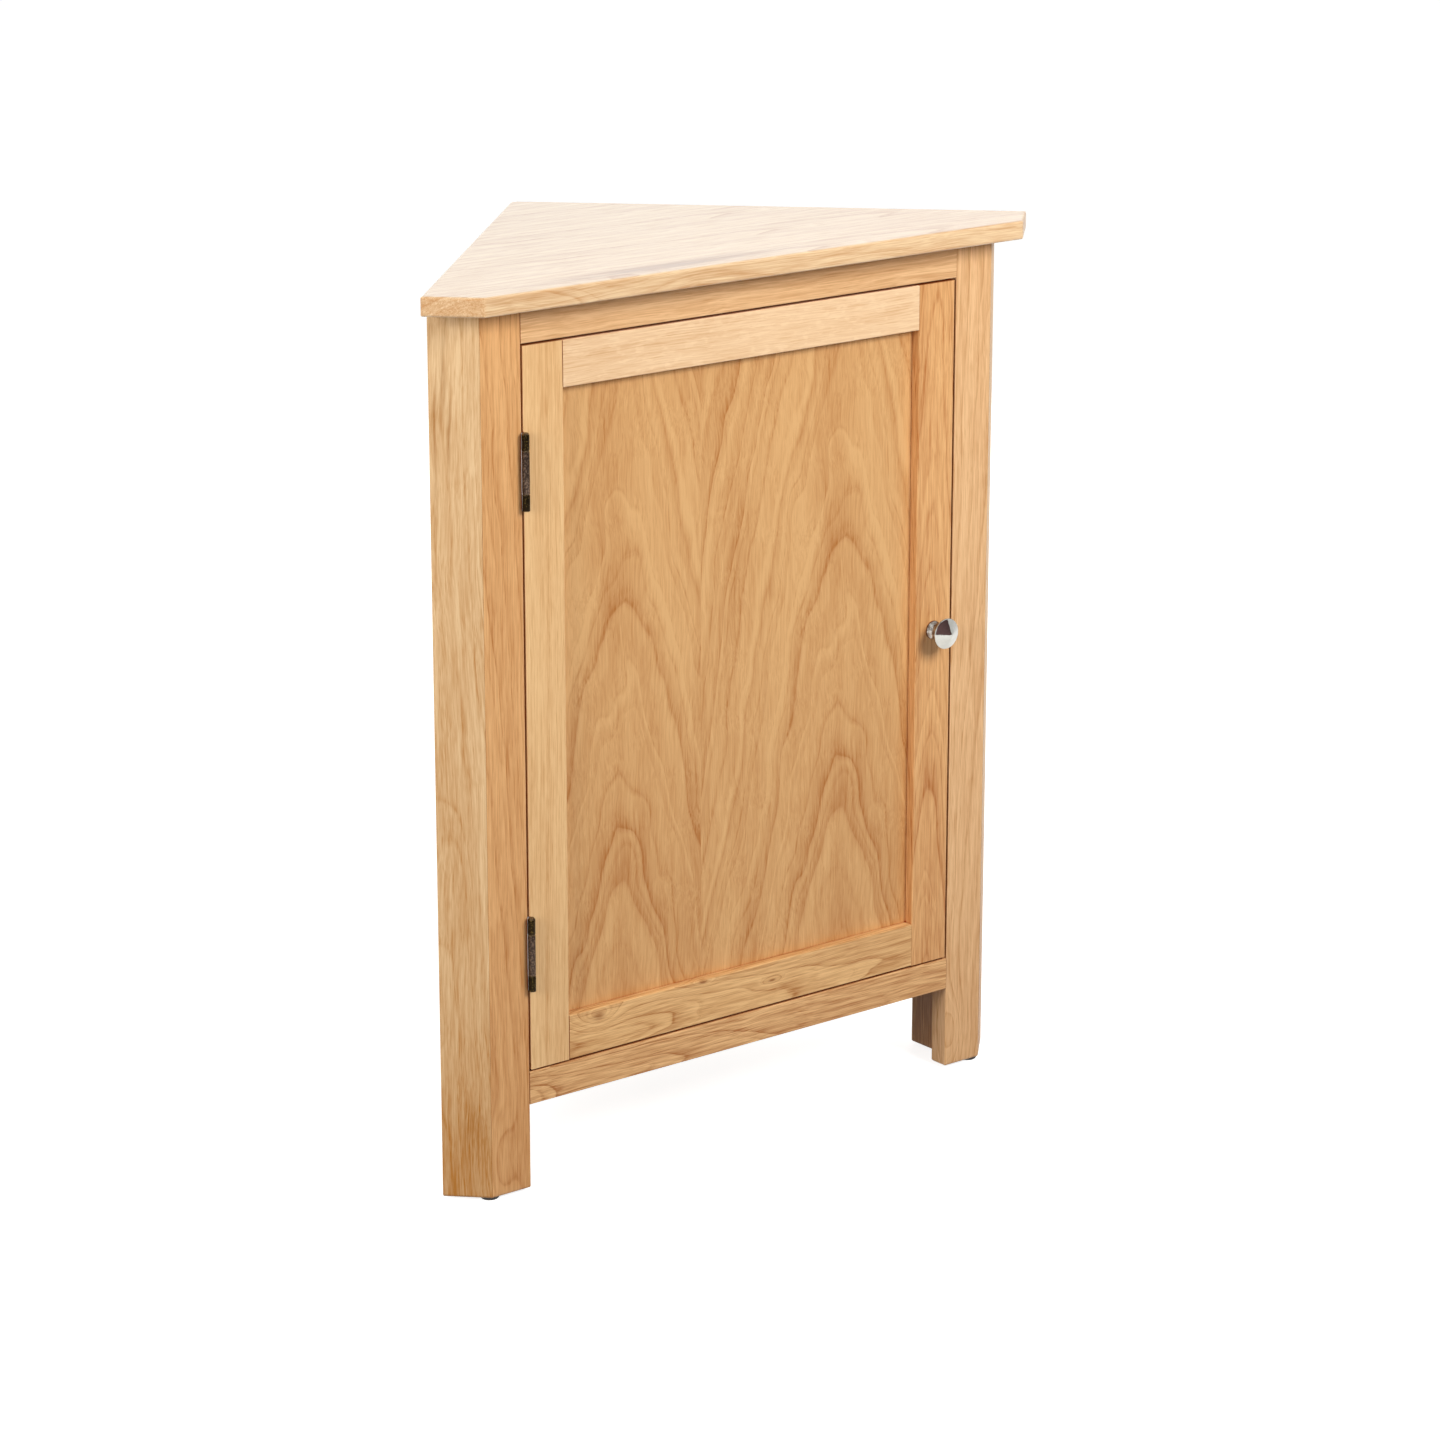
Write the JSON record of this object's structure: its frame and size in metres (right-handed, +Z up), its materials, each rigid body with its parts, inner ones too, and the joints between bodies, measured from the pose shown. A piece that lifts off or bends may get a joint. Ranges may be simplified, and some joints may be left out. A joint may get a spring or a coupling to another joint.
{
  "type": "corner cupboard",
  "caption": "Oak corner cupboard with a five-sided top, angled front posts, panelled wall sides and one framed, hinged door with a round knob.",
  "frame": {"origin": "on the floor, at the middle of the overall width and depth", "axes": "+Z up; the door faces -Y; the two wall sides meet in the room corner at +Y; +X is to the right when facing the door, on the knob side"},
  "size_m": [0.7042, 0.3892, 0.85],
  "materials": {
    "oak": "satin lacquered solid oak",
    "oak_veneer": "satin lacquered crown-cut oak veneer",
    "inner_oak": "plain sealed oak",
    "antique_bronze": "dark antique bronze with rubbed edges",
    "polished_chrome": "polished",
    "bright_steel": "zinc plated",
    "brass_peg": "bright",
    "white_plastic": "matt",
    "dark_glide": "matt"
  },
  "bodies": {
    "carcase": {"worktop": "oak", "front_stile_left": "oak", "front_stile_right": "oak", "return_stile_left": "oak", "return_stile_right": "oak", "corner_leg_left": "oak", "corner_leg_right": "oak", "rear_post": "oak", "top_rail": "oak", "bottom_rail": "oak", "wall_panel_left": "oak_veneer", "wall_panel_right": "oak_veneer", "top_batten_left": "inner_oak", "top_batten_right": "inner_oak", "floor_batten_left": "inner_oak", "floor_batten_right": "inner_oak", "floor_board": "inner_oak", "shelf": "inner_oak", "shelf_peg_front_left": "brass_peg", "shelf_peg_front_right": "brass_peg", "shelf_peg_rear_left": "brass_peg", "shelf_peg_rear_right": "brass_peg", "door_stop": "inner_oak", "catch_body": "white_plastic", "catch_magnet": "bright_steel", "catch_screw_left": "bright_steel", "catch_screw_right": "bright_steel", "top_screw_front_left": "bright_steel", "top_screw_front_right": "bright_steel", "top_screw_rear_left": "bright_steel", "top_screw_rear_right": "bright_steel", "glide_left": "dark_glide", "glide_right": "dark_glide", "glide_rear": "dark_glide", "hinge_upper_post_leaf": "antique_bronze", "hinge_upper_pin": "antique_bronze", "hinge_lower_post_leaf": "antique_bronze", "hinge_lower_pin": "antique_bronze", "hinge_upper_post_screw_low": "antique_bronze", "hinge_upper_post_screw_high": "antique_bronze", "hinge_lower_post_screw_low": "antique_bronze", "hinge_lower_post_screw_high": "antique_bronze"},
    "door": {"door_stile_left": "oak", "door_stile_right": "oak", "door_rail_top": "oak", "door_rail_bottom": "oak", "door_panel": "oak_veneer", "knob_stem": "polished_chrome", "knob_head": "polished_chrome", "knob_screw": "bright_steel", "catch_plate": "bright_steel", "plate_screw": "bright_steel", "hinge_upper_door_leaf": "antique_bronze", "hinge_lower_door_leaf": "antique_bronze", "hinge_upper_door_screw_low": "antique_bronze", "hinge_upper_door_screw_high": "antique_bronze", "hinge_lower_door_screw_low": "antique_bronze", "hinge_lower_door_screw_high": "antique_bronze"}
  },
  "joints": [
    {"name": "door_hinge", "type": "hinge", "parent": "carcase", "child": "door", "pos_m": [-0.254, -0.17043, 0.4575], "axis": [0, 0, -1], "range_deg": [0, 180]}
  ]
}
